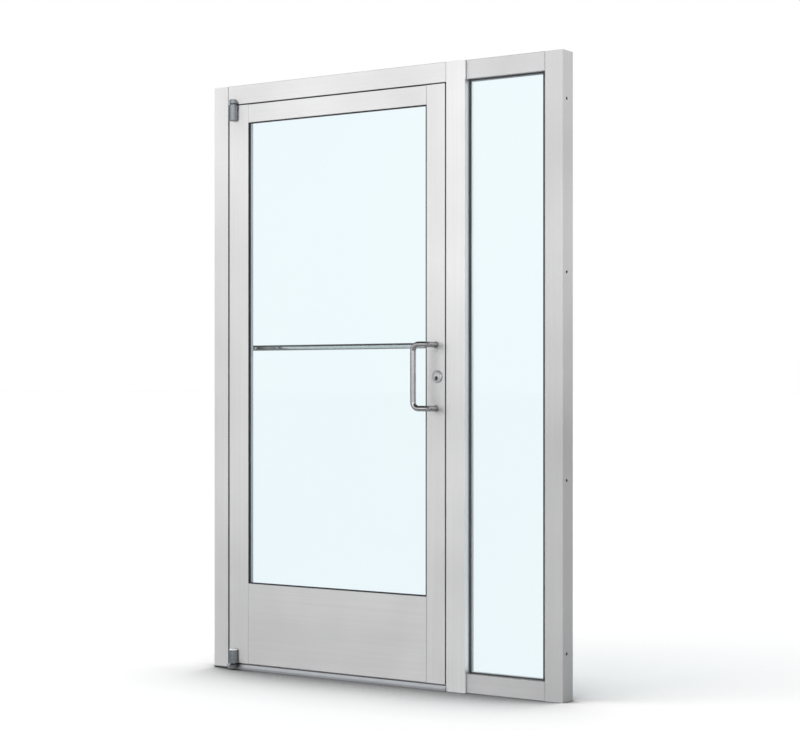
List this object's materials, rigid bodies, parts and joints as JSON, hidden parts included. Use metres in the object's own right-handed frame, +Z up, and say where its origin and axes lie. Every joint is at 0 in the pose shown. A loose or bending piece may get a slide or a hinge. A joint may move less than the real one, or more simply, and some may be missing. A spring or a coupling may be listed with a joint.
{
  "type": "framed glass door with sidelight",
  "caption": "Aluminium framed glass entrance door with a narrow sidelight, hung on offset pivots, with a bent pull handle, an inner push bar and a swinging bolt lock.",
  "frame": {"origin": "on the floor under the threshold, at the middle of the door opening and of the frame's depth", "axes": "+Z up, +X from the hinge jamb to the sidelight, +Y from the outside to the inside"},
  "size_m": [1.405, 0.1835, 2.032],
  "materials": {
    "aluminium": "clear anodised, fine brushed",
    "handle_aluminium": "polished rod",
    "pivot_metal": "satin grey",
    "steel": "zinc plated",
    "satin_steel": "satin chrome",
    "rubber": "matt black",
    "glass": "clear float glass"
  },
  "bodies": {
    "frame": {"hinge_jamb": "aluminium", "door_header": "aluminium", "mullion": "aluminium", "sidelight_jamb": "aluminium", "sidelight_head": "aluminium", "sidelight_sill": "aluminium", "corner_clips": "aluminium", "sidelight_glass": "glass", "sidelight_outer_gasket": "rubber", "sidelight_inner_gasket": "rubber", "sidelight_head_stop": "aluminium", "sidelight_sill_stop": "aluminium", "sidelight_setting_blocks": "rubber", "hinge_door_stop": "aluminium", "head_door_stop": "aluminium", "strike_door_stop": "aluminium", "hinge_weatherstrip": "rubber", "head_weatherstrip": "rubber", "strike_weatherstrip": "rubber", "threshold": "aluminium", "threshold_screws": "steel", "top_pivot_bracket": "pivot_metal", "top_pivot_pin": "steel", "header_pivot_block": "aluminium", "bottom_pivot_base": "pivot_metal", "bottom_pivot_pin": "steel", "thrust_washer": "rubber", "pivot_screws": "steel", "strike_plate": "steel", "strike_backer": "steel", "strike_screws": "steel"},
    "leaf": {"hinge_stile": "aluminium", "lock_stile": "aluminium", "top_rail": "aluminium", "bottom_rail": "aluminium", "tie_rods": "steel", "tie_rod_nuts": "steel", "door_glass": "glass", "door_outer_gasket": "rubber", "door_inner_gasket": "rubber", "hinge_bead": "aluminium", "lock_bead": "aluminium", "top_bead": "aluminium", "bottom_bead": "aluminium", "door_setting_blocks": "rubber", "top_pivot_arm": "pivot_metal", "bottom_pivot_arm": "pivot_metal", "pull_handle": "handle_aluminium", "push_bar": "handle_aluminium", "handle_studs": "steel", "lock_case": "steel", "lock_faceplate": "steel", "faceplate_screws": "steel", "bolt_pin": "steel", "lock_cylinder": "satin_steel", "cylinder_ring": "satin_steel", "turn_cylinder": "satin_steel"},
    "key_plug": {"key_plug": "satin_steel"},
    "thumbturn": {"thumbturn": "satin_steel"},
    "dead_bolt": {"dead_bolt": "steel"}
  },
  "joints": [
    {"name": "door_swing", "type": "hinge", "parent": "frame", "child": "leaf", "pos_m": [-0.421, -0.054, 1.016], "axis": [0, 0, -1], "range_deg": [0, 110]},
    {"name": "bolt_throw", "type": "hinge", "parent": "leaf", "child": "dead_bolt", "pos_m": [0.4415, -0.01575, 1.0412], "axis": [0, 1, 0], "range_deg": [0, 90]},
    {"name": "thumbturn_turn", "type": "hinge", "parent": "leaf", "child": "thumbturn", "pos_m": [0.4234, -0.01575, 1.016], "axis": [0, 1, 0], "range_deg": [0, 90]},
    {"name": "plug_turn", "type": "hinge", "parent": "leaf", "child": "key_plug", "pos_m": [0.4234, -0.01575, 1.0105], "axis": [0, 1, 0], "range_deg": [0, 90]}
  ],
  "couplings": [
    {"joint": "thumbturn_turn", "follows": "bolt_throw", "ratio": 1},
    {"joint": "plug_turn", "follows": "bolt_throw", "ratio": 1}
  ]
}
